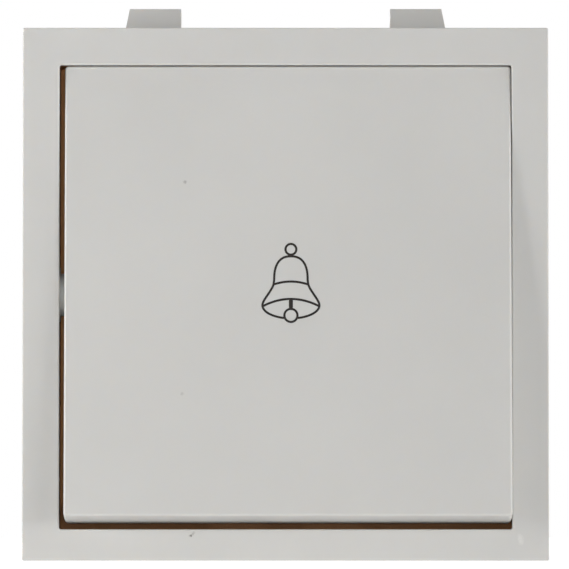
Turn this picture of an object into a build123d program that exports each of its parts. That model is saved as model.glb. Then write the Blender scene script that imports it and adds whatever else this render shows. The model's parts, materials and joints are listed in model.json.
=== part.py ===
from build123d import *
from math import cos, radians, sin, sqrt
import os

# Two-module rocker bell push that clips into the window of a wall grid plate.
# Millimetres. X runs to the right, Y into the wall and Z up. The origin is the centre
# of the frame's outline on the back of its flange, the plane that seats on the grid.

os.makedirs("parts", exist_ok=True)

# Frame and the grid plate that it clips into
module_pitch = 22.5
module_count = 2
module_play = 0.6
frame_height = 45.0
flange_depth = 4.0
rail_side = 3.1
rail_top = 3.16
rail_bottom = 2.64
skirt_wall = 1.0
skirt_depth = 9.0
skirt_corner_radius = 1.2
frame_corner_radius = 0.15
frame_edge_radius = 0.1
opening_corner_radius = 0.2
lip_radius = 0.12
lip_depth = 0.8
grid_thickness = 2.5
grid_play = 0.15

# Hooks on top of the skirt and snap tongues below it
hook_inner_x = 8.95
hook_root_width = 4.85
hook_tip_width = 4.4
hook_rise = 2.2
hook_thickness = 2.2
hook_chamfer = 0.6
tongue_x = 11.0
tongue_width = 6.0
tongue_slot = 0.8
tongue_root = 1.0
tongue_end_gap = 0.6
tongue_nose = 0.7
tongue_crest = 0.7
tongue_ramp = 3.2

# Windows in the skirt and the base's catches that snap into them
window_spacing = 22.0
window_height = 5.4
window_depth = 2.6
window_setback = 1.8
catch_play = 0.05
catch_side_play = 0.2
catch_reach = 0.9

# Rocker and its trunnions
rest_tilt = 4.2
press_travel = 7.0
pivot_setback = 2.53
pivot_to_face = 3.6
pivot_to_tail = 1.9
rocker_gap_left = 0.47
rocker_gap_right = 0.06
rocker_gap_top = 0.07
rocker_plate = 1.8
rocker_wall = 1.4
rocker_corner_radius = 0.3
rocker_edge_radius = 0.22
trunnion_radius = 1.8
trunnion_length = 1.2
trunnion_chamfer = 0.3
trunnion_end_gap = 0.12
bearing_radius = 2.3
bearing_height = 0.02
rib_x = 9.0
rib_thickness = 1.1
rib_height = 1.7
nose_radius = 1.5
nose_reach = 2.7
nose_width = 4.4

# Base
base_fit = 0.12
base_corner_radius = 0.8
liner_wall = 0.7
liner_setback = 0.1
bearing_notch_room = 0.15
rim_ledge = 1.5
base_plate = 1.5
block_wall = 1.8
block_corner_radius = 0.7
block_edge_radius = 0.4
chamber_height = 9.2
terminal_margin = 4.0
stop_gap = 0.05
stop_pad_height = 0.3
stop_pad_width = 5.0
stop_pad_x = 4.0
tongue_relief = 0.8
tongue_relief_setback = 1.0
gusset_reach = 4.5
gusset_rise = 5.0
gusset_thickness = 1.4
gusset_spacing = 14.0

# Cover of the mechanism and its screw
cover_gap = 0.5
cover_thickness = 1.5
cover_fit = 0.15
collar_wall = 1.5
collar_length = 2.0
post_radius = 1.3
post_offset = 2.4
cover_screw_radius = 1.1
cover_screw_length = 6.5
cover_screw_head_radius = 2.0
cover_screw_head = 1.3
pilot_clearance = 0.03

# Plunger, bridge and springs
stem_radius = 2.5
stem_edge = 0.3
running_fit = 0.05
touch_gap = 0.02
yoke_width = 7.0
yoke_wall = 1.0
bridge_width = 4.4
bridge_thickness = 0.8
bridge_end = 2.2
bridge_room = 0.7
window_play = 0.1
overtravel = 0.4
contact_spring_length = 3.2
contact_spring_radius = 1.5
contact_wire_radius = 0.18
contact_spring_turns = 3.5
return_spring_length = 5.6
return_spring_radius = 2.55
return_wire_radius = 0.25
return_spring_turns = 3.5
spring_spigot_gap = 0.3
spring_spigot_length = 1.0
spring_well_room = 0.4

# Contacts and terminals
terminal_x = 7.6
terminal_width = 7.2
terminal_height = 8.2
terminal_fit = 0.1
terminal_front_wall = 1.1
terminal_thread = 2.6
terminal_chamfer = 0.4
wire_radius = 1.7
wire_entry_room = 0.5
wire_entry_chamfer = 0.7
strip_width = 4.6
strip_thickness = 1.0
strip_end = 2.6
strip_corner_radius = 0.6
tip_radius = 1.5
tip_height = 0.7
tip_edge = 0.15
rivet_radius = 0.75
rivet_fit = 0.05
spigot_radius = 1.2
spigot_head = 0.4
clamp_screw_radius = 1.5
clamp_screw_head_radius = 2.6
clamp_screw_head = 2.0
clamp_screw_gap = 0.15
clamp_screw_recess = 0.4
clamp_well_room = 0.4
screw_slot_width = 0.9
screw_slot_depth = 0.9
screw_edge = 0.25

# Frame outline, opening, the base's seat behind the lip, and the skirt around it
frame_width = module_pitch * module_count - module_play
front_y = -flange_depth
opening_width = frame_width - 2 * rail_side
opening_top = frame_height / 2 - rail_top
opening_bottom = rail_bottom - frame_height / 2
opening_height = opening_top - opening_bottom
opening_z = (opening_top + opening_bottom) / 2
base_width = opening_width + 2 * (liner_setback + liner_wall)
base_height = opening_height + 2 * (liner_setback + liner_wall)
seat_width = base_width + 2 * base_fit
seat_height = base_height + 2 * base_fit
skirt_width = seat_width + 2 * skirt_wall
skirt_height = seat_height + 2 * skirt_wall
skirt_top = opening_z + skirt_height / 2
skirt_bottom = opening_z - skirt_height / 2
lip_y = front_y + lip_depth
catch_line_y = grid_thickness + grid_play
hook_rear_y = catch_line_y + hook_thickness
hook_tip_z = frame_height / 2 + hook_rise
window_rear_y = skirt_depth - window_setback

# Rocker: a face tilted about the trunnion axis, with ends that are arcs about that axis
pivot_y = front_y + pivot_setback
pivot_z = 0.0
rocker_x = (rocker_gap_left - rocker_gap_right) / 2
rocker_width = opening_width - rocker_gap_left - rocker_gap_right
rocker_radius = opening_top + liner_setback - pivot_z - rocker_gap_top
rest_angle = radians(rest_tilt)
pressed_angle = radians(rest_tilt - press_travel)
socket_depth = trunnion_length - rocker_gap_right + trunnion_end_gap


def chord_half(radius, height):
    """Half width of a circle of this radius at this height from its centre."""
    return sqrt(radius**2 - height**2)


def rocker_depth(angle, up, out):
    """Depth of a point of the rocker, given up its face and out of it, at a tilt."""
    return pivot_y + up * sin(angle) - out * cos(angle)


def depth_plane(y):
    """Sketch plane across the part at depth y, facing the front, with Z up."""
    return Plane(origin=(0, y, 0), x_dir=(1, 0, 0), z_dir=(0, -1, 0))


tail_half = chord_half(rocker_radius, pivot_to_tail)
rest_stop_y = rocker_depth(rest_angle, tail_half, -pivot_to_tail) + stop_gap
press_stop_y = rocker_depth(pressed_angle, -tail_half, -pivot_to_tail) + stop_gap
rim_y = max(rest_stop_y, press_stop_y) + stop_pad_height

# Base: a liner around the rocker, and a rim with its mouth behind the rocker's tail
liner_front_y = lip_y + base_fit
base_bottom = opening_z - base_height / 2
mouth_width = opening_width - 2 * rim_ledge
mouth_height = opening_height - 2 * rim_ledge
mouth_top = opening_z + mouth_height / 2
chamber_bottom = opening_z - mouth_height / 2
block_bottom = chamber_bottom - block_wall
chamber_top = chamber_bottom + chamber_height
plunger_z = (chamber_bottom + chamber_top) / 2
terminal_top = mouth_top - terminal_margin
terminal_bottom = terminal_top - terminal_height
terminal_z = (terminal_top + terminal_bottom) / 2
channel_z = (chamber_top + terminal_bottom) / 2

# Depths along the plunger, from the rocker's nose to the fixed contacts
nose_up = plunger_z - pivot_z
nose_rest_y = rocker_depth(rest_angle, nose_up, -nose_reach) + nose_radius
nose_pressed_y = rocker_depth(pressed_angle, nose_up, -nose_reach) + nose_radius
plunger_travel = nose_pressed_y - nose_rest_y
plunger_front_y = nose_rest_y + running_fit
cover_front_y = nose_pressed_y + cover_gap
cover_seat_y = cover_front_y + cover_thickness
collar_rear_y = cover_seat_y + collar_length
yoke_front_y = collar_rear_y + running_fit
window_front_y = yoke_front_y + yoke_wall
bridge_front_y = window_front_y + contact_spring_length
bridge_rear_y = bridge_front_y + bridge_thickness
window_back_y = bridge_rear_y + touch_gap
yoke_rear_y = window_back_y + yoke_wall
bridge_tip_y = bridge_rear_y + tip_height
fixed_tip_y = bridge_tip_y + plunger_travel - overtravel + touch_gap
strip_front_y = fixed_tip_y + tip_height
strip_rear_y = strip_front_y + strip_thickness
spring_floor_y = yoke_rear_y + return_spring_length

# Depths behind the contacts
wire_y = strip_rear_y + terminal_front_wall + wire_radius
clamp_tip_y = wire_y + wire_radius + clamp_screw_gap
terminal_rear_y = clamp_tip_y + terminal_thread
clamp_head_y = terminal_rear_y + clamp_screw_gap
tower_rear_y = clamp_head_y + clamp_screw_head + clamp_screw_recess
plate_rear_y = skirt_depth + base_plate
block_rear_y = strip_rear_y + block_wall
well_rear_y = spring_floor_y + block_wall

# Widths of the mechanism block
pocket_width = terminal_width + 2 * terminal_fit
block_half = terminal_x + pocket_width / 2 + block_wall
slot_half = terminal_x - pocket_width / 2 - block_wall
bridge_half = terminal_x + bridge_end
chamber_half = bridge_half + bridge_room
channel_width = strip_width + 2 * terminal_fit
tower_top = terminal_top + terminal_fit + block_wall
tower_bottom = terminal_bottom - terminal_fit - block_wall
window_z_size = bridge_width + 2 * window_play
yoke_height = window_z_size + 2 * yoke_wall
well_radius = return_spring_radius + return_wire_radius + spring_well_room
core_front_y = cover_front_y + cover_screw_length + block_wall
strip_bottom = plunger_z - strip_end

rocker_up = (0, sin(rest_angle), cos(rest_angle))
rocker_out = (0, -cos(rest_angle), sin(rest_angle))
rocker_origin = (rocker_x, pivot_y, pivot_z)
rocker_side = Plane(origin=rocker_origin, x_dir=rocker_up, z_dir=(1, 0, 0))
rocker_face = Plane(origin=rocker_origin, x_dir=(1, 0, 0), z_dir=rocker_out)
face_axis = Axis(rocker_origin, rocker_out)


# Front frame: flange, skirt, hooks, tongues, bearing sockets and snap windows
with BuildPart() as front_frame:
    with BuildSketch(depth_plane(0)):
        Rectangle(frame_width, frame_height)
    extrude(amount=flange_depth)
    fillet(front_frame.edges().filter_by(Axis.Y), frame_corner_radius)
    fillet(front_frame.faces().sort_by(Axis.Y)[0].edges(), frame_edge_radius)
    with BuildSketch(depth_plane(skirt_depth)):
        with Locations((0, opening_z)):
            RectangleRounded(skirt_width, skirt_height, skirt_corner_radius)
    extrude(amount=skirt_depth)
    with BuildSketch(depth_plane(skirt_depth)):
        with Locations((0, opening_z)):
            RectangleRounded(opening_width, opening_height, opening_corner_radius)
    extrude(amount=skirt_depth + flange_depth, mode=Mode.SUBTRACT)
    front_face = front_frame.faces().sort_by(Axis.Y)[0]
    fillet(front_face.inner_wires()[0].edges(), lip_radius)
    with BuildSketch(depth_plane(skirt_depth)):
        with Locations((0, opening_z)):
            RectangleRounded(seat_width, seat_height, base_corner_radius)
    extrude(amount=skirt_depth - lip_y, mode=Mode.SUBTRACT)

    with BuildSketch(Plane.YZ.offset(opening_width / 2 - bearing_height)):
        with Locations((pivot_y, pivot_z)):
            Circle(bearing_radius)
    bearing = extrude(until=Until.NEXT)
    mirror(bearing, about=Plane.YZ)
    with BuildSketch(Plane.YZ):
        with Locations((pivot_y, pivot_z)):
            Circle(trunnion_radius + running_fit)
    extrude(amount=opening_width / 2 + socket_depth, both=True, mode=Mode.SUBTRACT)

    with BuildSketch(depth_plane(hook_rear_y)):
        with BuildLine():
            Polyline(
                (hook_inner_x, skirt_top - skirt_wall / 2),
                (hook_inner_x + hook_root_width, skirt_top - skirt_wall / 2),
                (hook_inner_x + hook_root_width, frame_height / 2),
                (hook_inner_x + hook_tip_width, hook_tip_z),
                (hook_inner_x, hook_tip_z),
                close=True,
            )
        make_face()
        mirror(about=Plane.YZ)
    extrude(amount=hook_thickness)
    hook_tips = front_frame.faces().filter_by(Axis.Z).sort_by(Axis.Z)[-2:]
    chamfer([tip.edges().sort_by(Axis.Y)[-1] for tip in hook_tips], hook_chamfer)

    slot_length = skirt_depth - tongue_root
    tongue_length = slot_length - tongue_end_gap
    with BuildSketch(Plane.XY.offset(skirt_bottom)):
        with Locations((-tongue_x, skirt_depth), (tongue_x, skirt_depth)):
            Rectangle(tongue_width + 2 * tongue_slot, slot_length, align=(Align.CENTER, Align.MAX))
        with Locations((-tongue_x, tongue_root), (tongue_x, tongue_root)):
            Rectangle(
                tongue_width, tongue_length, align=(Align.CENTER, Align.MIN), mode=Mode.SUBTRACT
            )
    extrude(amount=skirt_wall, mode=Mode.SUBTRACT)
    with BuildSketch(Plane.YZ.offset(tongue_x - tongue_width / 2)):
        with BuildLine():
            Polyline(
                (catch_line_y, skirt_bottom),
                (catch_line_y, skirt_bottom - tongue_nose),
                (catch_line_y + tongue_crest, skirt_bottom - tongue_nose),
                (catch_line_y + tongue_crest + tongue_ramp, skirt_bottom),
                close=True,
            )
        make_face()
    noses = extrude(amount=tongue_width)
    mirror(noses, about=Plane.YZ)

    with BuildSketch(Plane.YZ):
        with Locations((window_rear_y - window_depth / 2, opening_z)):
            with GridLocations(window_depth, window_spacing, 1, 2):
                Rectangle(window_depth, window_height)
    extrude(amount=frame_width, both=True, mode=Mode.SUBTRACT)
front_frame.part.label = "front_frame"
export_step(front_frame.part, "parts/front_frame.step")


# Rocker: hollow shell with trunnions, ribs and the nose that pushes the plunger
shell_radius = rocker_radius - rocker_wall
plate_back = pivot_to_face - rocker_plate
face_half = chord_half(rocker_radius, pivot_to_face)
hollow_half = chord_half(shell_radius, plate_back)
hollow_tail_half = chord_half(shell_radius, pivot_to_tail)
with BuildPart() as rocker:
    with BuildSketch(rocker_side):
        with BuildLine():
            Line((-face_half, pivot_to_face), (face_half, pivot_to_face))
            ThreePointArc(
                (face_half, pivot_to_face), (rocker_radius, 0), (tail_half, -pivot_to_tail)
            )
            Line((tail_half, -pivot_to_tail), (-tail_half, -pivot_to_tail))
            ThreePointArc(
                (-tail_half, -pivot_to_tail), (-rocker_radius, 0), (-face_half, pivot_to_face)
            )
        make_face()
    extrude(amount=rocker_width / 2, both=True)
    fillet(rocker.edges().filter_by(GeomType.CIRCLE), rocker_corner_radius)
    fillet(rocker.faces().sort_by(face_axis)[-1].edges(), rocker_edge_radius)
    with BuildSketch(rocker_side):
        with BuildLine():
            Line((-hollow_half, plate_back), (hollow_half, plate_back))
            ThreePointArc(
                (hollow_half, plate_back), (shell_radius, 0), (hollow_tail_half, -pivot_to_tail)
            )
            Line((hollow_tail_half, -pivot_to_tail), (-hollow_tail_half, -pivot_to_tail))
            ThreePointArc(
                (-hollow_tail_half, -pivot_to_tail), (-shell_radius, 0), (-hollow_half, plate_back)
            )
        make_face()
    extrude(amount=rocker_width / 2 - rocker_wall, both=True, mode=Mode.SUBTRACT)
    with BuildSketch(rocker_face.offset(plate_back)):
        with GridLocations(2 * rib_x, 0, 2, 1):
            Rectangle(rib_thickness, 2 * hollow_half)
        Rectangle(rocker_width - rocker_wall, rib_thickness)
    extrude(amount=-rib_height)
    with BuildSketch(rocker_side):
        with Locations((nose_up, -nose_reach)):
            Circle(nose_radius)
            Rectangle(2 * nose_radius, nose_reach + plate_back, align=(Align.CENTER, Align.MIN))
    extrude(amount=nose_width / 2, both=True)
    with BuildSketch(rocker_side.offset(rocker_width / 2)):
        Circle(trunnion_radius)
    extrude(amount=trunnion_length)
    with BuildSketch(rocker_side.offset(-rocker_width / 2)):
        Circle(trunnion_radius)
    extrude(amount=-trunnion_length)
    trunnion_ends = rocker.edges().filter_by(GeomType.CIRCLE).sort_by(Axis.X)
    chamfer((trunnion_ends[0], trunnion_ends[-1]), trunnion_chamfer)
rocker.part.label = "rocker"
export_step(rocker.part, "parts/rocker.step")


# Base: liner and rim in the frame, plate behind the skirt, mechanism block and terminal towers
with BuildPart() as base:
    with BuildSketch(depth_plane(skirt_depth)):
        with Locations((0, opening_z)):
            RectangleRounded(base_width, base_height, base_corner_radius)
    extrude(amount=skirt_depth - liner_front_y)
    with BuildSketch(depth_plane(rim_y)):
        with Locations((0, opening_z)):
            RectangleRounded(
                opening_width + 2 * liner_setback, opening_height + 2 * liner_setback, opening_corner_radius
            )
    extrude(amount=rim_y - liner_front_y, mode=Mode.SUBTRACT)
    with BuildSketch(depth_plane(skirt_depth)):
        with Locations((0, opening_z)):
            Rectangle(mouth_width, mouth_height)
    extrude(amount=skirt_depth - rim_y, mode=Mode.SUBTRACT)
    with BuildSketch(Plane.YZ):
        with Locations((pivot_y, pivot_z)):
            Circle(bearing_radius + bearing_notch_room)
            Rectangle(
                pivot_y - liner_front_y,
                2 * (bearing_radius + bearing_notch_room),
                align=(Align.MAX, Align.CENTER),
            )
    extrude(amount=base_width, both=True, mode=Mode.SUBTRACT)
    with BuildSketch(depth_plane(plate_rear_y)):
        with Locations((0, opening_z)):
            RectangleRounded(skirt_width, skirt_height, skirt_corner_radius)
    extrude(amount=base_plate)
    with BuildSketch(depth_plane(block_rear_y)):
        with Locations((0, block_bottom)):
            RectangleRounded(
                2 * block_half, tower_top - block_bottom, block_corner_radius, align=(Align.CENTER, Align.MIN)
            )
    extrude(amount=block_rear_y - cover_seat_y)
    with BuildSketch(depth_plane(well_rear_y)):
        with Locations((0, plunger_z)):
            Circle(well_radius + block_wall)
    extrude(amount=well_rear_y - block_rear_y)
    fillet(base.faces().sort_by(Axis.Y)[-1].edges(), block_edge_radius)
    with BuildSketch(depth_plane(tower_rear_y)):
        with Locations((0, tower_bottom)):
            RectangleRounded(
                2 * block_half, tower_top - tower_bottom, block_corner_radius, align=(Align.CENTER, Align.MIN)
            )
    extrude(amount=tower_rear_y - block_rear_y)
    fillet(base.faces().sort_by(Axis.Y)[-1].edges(), block_edge_radius)

    # Stop pads for the rocker's tail: above at rest, below when pressed
    for pad_y, pad_z, edge in (
        (rest_stop_y, opening_top, Align.MAX),
        (press_stop_y, opening_bottom, Align.MIN),
    ):
        with BuildSketch(depth_plane(rim_y)):
            with Locations((-stop_pad_x, pad_z), (stop_pad_x, pad_z)):
                Rectangle(stop_pad_width, rim_ledge, align=(Align.CENTER, edge))
        extrude(amount=rim_y - pad_y)

    # Catches that snap into the skirt's windows
    catch_rear_y = window_rear_y - catch_play
    catch_length = window_depth - 2 * catch_play
    catch_height = window_height - 2 * catch_side_play
    for catch_z in (opening_z - window_spacing / 2, opening_z + window_spacing / 2):
        with BuildSketch(Plane.XY.offset(catch_z - catch_height / 2)):
            with BuildLine():
                Polyline(
                    (base_width / 2, catch_rear_y - catch_length),
                    (base_width / 2, catch_rear_y),
                    (base_width / 2 + catch_reach, catch_rear_y),
                    close=True,
                )
            make_face()
            mirror(about=Plane.YZ)
        extrude(amount=catch_height)

    # Gussets between the block and the plate
    for gusset_z in (opening_z - gusset_spacing / 2, opening_z + gusset_spacing / 2):
        with BuildSketch(Plane.XY.offset(gusset_z - gusset_thickness / 2)):
            with BuildLine():
                Polyline(
                    (block_half, plate_rear_y),
                    (block_half + gusset_reach, plate_rear_y),
                    (block_half, plate_rear_y + gusset_rise),
                    close=True,
                )
            make_face()
            mirror(about=Plane.YZ)
        extrude(amount=gusset_thickness)

    # Chamber of the bridge, strip channels, terminal pockets and spring well
    with BuildSketch(depth_plane(strip_rear_y)):
        with Locations((0, plunger_z)):
            Rectangle(2 * chamber_half, chamber_height)
        with Locations((-terminal_x, plunger_z), (terminal_x, plunger_z)):
            Rectangle(channel_width, terminal_z - plunger_z, align=(Align.CENTER, Align.MIN))
    extrude(amount=strip_rear_y - cover_seat_y, mode=Mode.SUBTRACT)
    with BuildSketch(depth_plane(terminal_rear_y)):
        with Locations((-terminal_x, terminal_z), (terminal_x, terminal_z)):
            Rectangle(pocket_width, terminal_height + 2 * terminal_fit)
    extrude(amount=terminal_rear_y - cover_seat_y, mode=Mode.SUBTRACT)
    with BuildSketch(depth_plane(spring_floor_y)):
        with Locations((0, plunger_z)):
            Circle(well_radius)
    extrude(amount=spring_floor_y - strip_rear_y, mode=Mode.SUBTRACT)

    # Slot between the towers, and the pilot hole of the cover screw
    with BuildSketch(depth_plane(tower_rear_y)):
        with Locations((0, chamber_top + block_wall)):
            Rectangle(
                2 * slot_half, tower_top - chamber_top, align=(Align.CENTER, Align.MIN)
            )
    extrude(amount=tower_rear_y - core_front_y, mode=Mode.SUBTRACT)
    with BuildSketch(depth_plane(cover_front_y + cover_screw_length)):
        with Locations((0, channel_z)):
            Circle(cover_screw_radius + pilot_clearance)
    extrude(amount=cover_front_y + cover_screw_length - cover_seat_y, mode=Mode.SUBTRACT)

    # Screw wells behind the terminals and wire entries above them
    with BuildSketch(depth_plane(tower_rear_y)):
        with Locations((-terminal_x, terminal_z), (terminal_x, terminal_z)):
            Circle(clamp_screw_head_radius + clamp_well_room)
    extrude(amount=tower_rear_y - terminal_rear_y, mode=Mode.SUBTRACT)
    with Locations(Plane.XY.offset(tower_top)):
        with Locations((-terminal_x, wire_y), (terminal_x, wire_y)):
            CounterSinkHole(
                wire_radius + wire_entry_room,
                wire_radius + wire_entry_room + wire_entry_chamfer,
                depth=tower_top - terminal_top,
                counter_sink_angle=90,
            )

    # Room for the frame's tongues to bend in
    with BuildSketch(depth_plane(skirt_depth)):
        with Locations((-tongue_x, base_bottom), (tongue_x, base_bottom)):
            Rectangle(
                tongue_width + 2 * tongue_slot, tongue_relief, align=(Align.CENTER, Align.MIN)
            )
    extrude(amount=skirt_depth - rim_y - tongue_relief_setback, mode=Mode.SUBTRACT)
base.part.label = "base"
export_step(base.part, "parts/base.step")


# Cover of the mechanism, with the plunger's guide collar and posts on the strips
with BuildPart() as mechanism_cover:
    with BuildSketch(depth_plane(cover_seat_y)):
        with Locations((0, opening_z)):
            Rectangle(mouth_width - 2 * cover_fit, mouth_height - 2 * cover_fit)
    extrude(amount=cover_thickness)
    with BuildSketch(depth_plane(collar_rear_y)):
        with Locations((0, plunger_z)):
            Circle(stem_radius + running_fit + collar_wall)
    extrude(amount=collar_length)
    with BuildSketch(depth_plane(strip_front_y - touch_gap)):
        with Locations((0, terminal_z - post_offset), (0, channel_z)):
            with GridLocations(2 * terminal_x, 0, 2, 1):
                Circle(post_radius)
    extrude(amount=strip_front_y - touch_gap - cover_seat_y)
    with BuildSketch(depth_plane(collar_rear_y)):
        with Locations((0, plunger_z)):
            Circle(stem_radius + running_fit)
        with Locations((0, channel_z)):
            Circle(cover_screw_radius + running_fit)
    extrude(amount=collar_rear_y - cover_front_y, mode=Mode.SUBTRACT)
mechanism_cover.part.label = "mechanism_cover"
export_step(mechanism_cover.part, "parts/mechanism_cover.step")


# Screw through the cover into the base
with BuildPart() as cover_screw:
    with BuildSketch(depth_plane(cover_front_y + cover_screw_length)):
        with Locations((0, channel_z)):
            Circle(cover_screw_radius)
    extrude(amount=cover_screw_length)
    with BuildSketch(depth_plane(cover_front_y)):
        with Locations((0, channel_z)):
            Circle(cover_screw_head_radius)
    extrude(amount=cover_screw_head)
    chamfer(cover_screw.edges().sort_by(Axis.Y)[0], screw_edge)
    with BuildSketch(depth_plane(cover_front_y - cover_screw_head + screw_slot_depth)):
        with Locations((0, channel_z)):
            Rectangle(2 * cover_screw_head_radius, screw_slot_width)
    extrude(amount=screw_slot_depth, mode=Mode.SUBTRACT)
cover_screw.part.label = "cover_screw"
export_step(cover_screw.part, "parts/cover_screw.step")


# Plunger: guided stem, yoke with the bridge's window, spigots for both springs
with BuildPart() as plunger:
    with BuildSketch(depth_plane(yoke_front_y)):
        with Locations((0, plunger_z)):
            Circle(stem_radius)
    extrude(amount=yoke_front_y - plunger_front_y)
    fillet(plunger.faces().sort_by(Axis.Y)[0].edges(), stem_edge)
    with BuildSketch(depth_plane(yoke_rear_y)):
        with Locations((0, plunger_z)):
            Rectangle(yoke_width, yoke_height)
    extrude(amount=yoke_rear_y - yoke_front_y)
    with BuildSketch(depth_plane(window_back_y)):
        with Locations((0, plunger_z)):
            Rectangle(yoke_width, window_z_size)
    extrude(amount=window_back_y - window_front_y, mode=Mode.SUBTRACT)
    with BuildSketch(depth_plane(window_front_y)):
        with Locations((0, plunger_z)):
            Circle(contact_spring_radius - contact_wire_radius - spring_spigot_gap)
    extrude(amount=-spring_spigot_length)
    with BuildSketch(depth_plane(yoke_rear_y)):
        with Locations((0, plunger_z)):
            Circle(return_spring_radius - return_wire_radius - spring_spigot_gap)
    extrude(amount=-spring_spigot_length)
plunger.part.label = "plunger"
export_step(plunger.part, "parts/plunger.step")


# Bridge: brass strip through the plunger's window, with a hole for each silver tip
with BuildPart() as bridge_contact:
    with BuildSketch(depth_plane(bridge_rear_y)):
        with Locations((0, plunger_z)):
            SlotOverall(2 * bridge_half, bridge_width)
            with GridLocations(2 * terminal_x, 0, 2, 1):
                Circle(rivet_radius + rivet_fit, mode=Mode.SUBTRACT)
    extrude(amount=bridge_thickness)
bridge_contact.part.label = "bridge_contact"
export_step(bridge_contact.part, "parts/bridge_contact.step")


# Springs of the plunger and of the bridge: helical wires on the plunger's axis
for spring_name, front, rear, coil_radius, strand_radius, turns in (
    (
        "return_spring", yoke_rear_y, spring_floor_y,
        return_spring_radius, return_wire_radius, return_spring_turns,
    ),
    (
        "contact_spring", window_front_y, bridge_front_y,
        contact_spring_radius, contact_wire_radius, contact_spring_turns,
    ),
):
    coil_start = (0, front + strand_radius + touch_gap, plunger_z)
    coil_height = rear - front - 2 * (strand_radius + touch_gap)
    with BuildPart() as spring:
        with BuildLine() as strand:
            Helix(coil_height / turns, coil_height, coil_radius, center=coil_start, direction=(0, 1, 0))
        with BuildSketch(Plane(origin=strand.line @ 0, z_dir=strand.line % 0)):
            Circle(strand_radius)
        sweep(is_frenet=True)
    spring.part.label = spring_name
    export_step(spring.part, f"parts/{spring_name}.step")


# Contacts, terminals and screws of the two poles
for side, pole_x in (("left", -terminal_x), ("right", terminal_x)):
    with BuildPart() as bridge_tip:
        with BuildSketch(depth_plane(bridge_tip_y)):
            with Locations((pole_x, plunger_z)):
                Circle(tip_radius)
        extrude(amount=tip_height)
        chamfer(bridge_tip.edges().sort_by(Axis.Y)[-1], tip_edge)
        with BuildSketch(depth_plane(bridge_rear_y)):
            with Locations((pole_x, plunger_z)):
                Circle(rivet_radius)
        extrude(amount=bridge_thickness)
    bridge_tip.part.label = f"bridge_tip_{side}"
    export_step(bridge_tip.part, f"parts/bridge_tip_{side}.step")

    with BuildPart() as fixed_contact:
        with BuildSketch(depth_plane(strip_rear_y)):
            with Locations((pole_x, strip_bottom)):
                RectangleRounded(
                    strip_width,
                    terminal_top - strip_bottom,
                    strip_corner_radius,
                    align=(Align.CENTER, Align.MIN),
                )
            with Locations((pole_x, plunger_z)):
                Circle(rivet_radius + rivet_fit, mode=Mode.SUBTRACT)
            with Locations((pole_x, terminal_z + post_offset)):
                Circle(spigot_radius + rivet_fit, mode=Mode.SUBTRACT)
        extrude(amount=strip_thickness)
    fixed_contact.part.label = f"fixed_contact_{side}"
    export_step(fixed_contact.part, f"parts/fixed_contact_{side}.step")

    with BuildPart() as fixed_tip:
        with BuildSketch(depth_plane(strip_front_y)):
            with Locations((pole_x, plunger_z)):
                Circle(tip_radius)
        extrude(amount=tip_height)
        chamfer(fixed_tip.edges().sort_by(Axis.Y)[0], tip_edge)
        with BuildSketch(depth_plane(strip_rear_y)):
            with Locations((pole_x, plunger_z)):
                Circle(rivet_radius)
        extrude(amount=strip_thickness)
    fixed_tip.part.label = f"fixed_tip_{side}"
    export_step(fixed_tip.part, f"parts/fixed_tip_{side}.step")

    with BuildPart() as terminal:
        with BuildSketch(depth_plane(terminal_rear_y)):
            with Locations((pole_x, terminal_z)):
                Rectangle(terminal_width, terminal_height)
        extrude(amount=terminal_rear_y - strip_rear_y)
        chamfer(terminal.edges().filter_by(Axis.Y), terminal_chamfer)
        with BuildSketch(depth_plane(strip_rear_y)):
            with Locations((pole_x, terminal_z + post_offset)):
                Circle(spigot_radius)
        extrude(amount=strip_thickness + spigot_head)
        with BuildSketch(Plane.XY.offset(terminal_top)):
            with Locations((pole_x, wire_y)):
                Circle(wire_radius)
        extrude(amount=-terminal_height, mode=Mode.SUBTRACT)
        with BuildSketch(depth_plane(terminal_rear_y)):
            with Locations((pole_x, terminal_z)):
                Circle(clamp_screw_radius + pilot_clearance)
        extrude(amount=terminal_rear_y - wire_y, mode=Mode.SUBTRACT)
    terminal.part.label = f"terminal_{side}"
    export_step(terminal.part, f"parts/terminal_{side}.step")

    with BuildPart() as terminal_screw:
        with BuildSketch(depth_plane(clamp_head_y)):
            with Locations((pole_x, terminal_z)):
                Circle(clamp_screw_radius)
        extrude(amount=clamp_head_y - clamp_tip_y)
        with BuildSketch(depth_plane(clamp_head_y + clamp_screw_head)):
            with Locations((pole_x, terminal_z)):
                Circle(clamp_screw_head_radius)
        extrude(amount=clamp_screw_head)
        fillet(terminal_screw.edges().sort_by(Axis.Y)[-1], screw_edge)
        with BuildSketch(depth_plane(clamp_head_y + clamp_screw_head)):
            with Locations((pole_x, terminal_z)):
                Rectangle(2 * clamp_screw_head_radius, screw_slot_width)
        extrude(amount=screw_slot_depth, mode=Mode.SUBTRACT)
    terminal_screw.part.label = f"terminal_screw_{side}"
    export_step(terminal_screw.part, f"parts/terminal_screw_{side}.step")
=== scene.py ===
"""Dresses a two-module rocker bell push: its finishes, the printed bell, the springs and a stage.

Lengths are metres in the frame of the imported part: X to the right, Y into the wall, Z up, with
the front facing -Y.
"""

import json
from functools import partial
from math import cos, pi, radians, sin

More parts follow.
